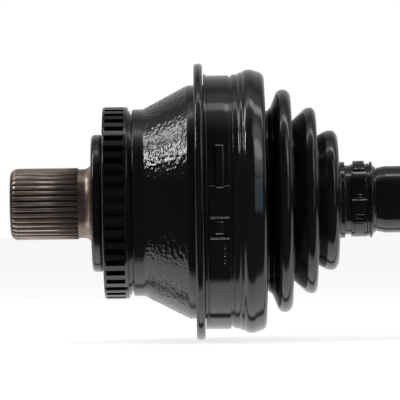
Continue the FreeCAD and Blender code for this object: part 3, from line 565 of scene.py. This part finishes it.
# ---- The boot cap: drawn from sheet steel and dipped in gloss black. The six flange screws clamp it
# to the gearbox-side ring, with the gasket between.
wear(gloss_black, "inner_boot_cap")

# ---- The end cover: a lid pressed from the same sheet, its middle stepped in to stiffen it, its skirt
# pushed into the gearbox-side ring to keep the grease in.
skirt_end, lid_face, lid_radius = 450.5, 463.7, 41.2
sheet, step_depth, step_radius = 1.2, 2.5, 28.5
lid_back = lid_face - sheet
lid = turned([(lid_face - step_depth, 0.0), (lid_face - step_depth, step_radius, 1.2),
              (lid_face, step_radius + step_depth, 1.2), (lid_face, lid_radius, 2.6), (skirt_end, lid_radius),
              (skirt_end, lid_radius - sheet), (lid_back, lid_radius - sheet, 1.6),
              (lid_back, step_radius + step_depth + 0.5, 0.8),
              (lid_back - step_depth, step_radius + 0.5, 0.8), (lid_back - step_depth, 0.0)], closed=False)
end_cover = finished("inner_end_cover_pressing", lid, gloss_black)
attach(end_cover, "inner_joint")
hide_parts("inner_end_cover")

# ---- Camera: level with the axle and square to it, with a long lens that takes in the wheel-side
# end. It leans a little to one side.
view_distance, view_width = 2.0, 0.186
view_middle, view_height, view_lean = 0.0502, 0.0009, 0.8
camera = bpy.data.cameras.new("camera")
camera.sensor_width = 36
camera.lens = camera.sensor_width * view_distance / view_width
camera_object = bpy.data.objects.new("camera", camera)
camera_object.location = (view_middle, -view_distance, view_height)
camera_object.rotation_euler = (math.radians(90), math.radians(view_lean), 0)
bpy.context.scene.collection.objects.link(camera_object)
bpy.context.scene.camera = camera_object

# ---- Studio: a pale floor just under the rings, a white room that mirrors dark in front and white
# behind and below, long soft lights overhead, a small bright one on the left, and on the right a
# wide one that grows brighter to its middle.
floor_gap, floor_size = 0.2, 6.0
bm = bmesh.new()
bmesh.ops.create_grid(bm, x_segments=1, y_segments=1, size=floor_size)
bmesh.ops.translate(bm, verts=bm.verts, vec=(0, 0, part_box("splash_ring")[0].z - floor_gap * mm))
floor_paint = new_material("pale_floor", Base_Color=(0.4, 0.4, 0.4), Roughness=0.9,
                           Emission_Color=(1.0, 1.0, 0.99), Emission_Strength=0.78)[0]
floor = finished("floor", bm, floor_paint)
floor.visible_glossy = False

world = bpy.data.worlds.new("studio")
bpy.context.scene.world = world
world.use_nodes = True
world.node_tree.nodes.clear()
add, link = node_adder(world.node_tree), world.node_tree.links.new

# the brightness of the room all round the axle: 0 degrees is the front, 90 the top, -90 the floor
room_stops = [(-180, 0.45), (-131, 0.6), (-128, 0.05), (-122, 0.05), (-119, 0.85), (-80, 0.8), (-74, 0.021),
              (68, 0.021), (84, 0.2), (108, 0.3), (122, 0.1), (138, 0.2), (180, 0.38)]
looking = add("ShaderNodeTexCoord")
parts = add("ShaderNodeSeparateXYZ")
link(looking.outputs["Generated"], parts.inputs[0])
to_front = add("ShaderNodeMath", operation="MULTIPLY")
to_front.inputs[1].default_value = -1.0
link(parts.outputs["Y"], to_front.inputs[0])
pitch = add("ShaderNodeMath", operation="ARCTAN2")
link(parts.outputs["Z"], pitch.inputs[0])
link(to_front.outputs[0], pitch.inputs[1])
room = ramp(add, link, spread(add, link, pitch.outputs[0], -math.pi, math.pi),
            [((degrees + 180) / 360, (level, level, level * 0.98)) for degrees, level in room_stops])
ray = add("ShaderNodeLightPath")
background = add("ShaderNodeBackground", Strength=2.0)
link(blend_colours(add, link, ray.outputs["Is Camera Ray"], room, (0.5, 0.5, 0.5)),
     background.inputs["Color"])
output = add("ShaderNodeOutputWorld")
link(background.outputs[0], output.inputs["Surface"])


def softbox(name, place, aim, width, height, radiance, colour=(1, 1, 1)):
    """An area light, sized in metres, its strength as radiance so that it mirrors the same at any size."""
    light = bpy.data.lights.new(name, "AREA")
    light.shape = "RECTANGLE"
    light.size = width
    light.size_y = height
    light.energy = radiance * width * height * math.pi
    light.color = colour
    lamp = bpy.data.objects.new(name, light)
    lamp.location = place
    lamp.rotation_mode = "QUATERNION"
    lamp.rotation_quaternion = (Vector(aim) - Vector(place)).to_track_quat("-Z", "Y")
    lamp.visible_camera = False
    bpy.context.scene.collection.objects.link(lamp)


aim = (0.06, 0, 0)
softbox("overhead_left", (-0.62, 0.05, 0.8), (-0.62, 0, 0), 0.5, 0.18, 8)
softbox("overhead", (-0.10, 0.05, 0.8), (-0.10, 0, 0), 0.4, 0.13, 1.5)
softbox("overhead_right", (0.55, 0.03, 0.8), (0.55, 0, 0), 0.9, 0.12, 3.6)
softbox("left_key", (-0.62, -0.26, 0.62), aim, 0.08, 0.26, 26)
softbox("right_side", (0.64, -0.52, 0.67), aim, 0.5, 1.0, 0.6)
softbox("right_middle", (0.62, -0.505, 0.64), aim, 0.36, 0.68, 0.9)
softbox("right_core", (0.60, -0.50, 0.60), aim, 0.14, 0.26, 2.4)
softbox("right_front", (0.68, -0.77, 0.08), aim, 0.3, 0.42, 1.1, (0.55, 0.76, 1.0))
bpy.context.scene.view_settings.view_transform = "Standard"
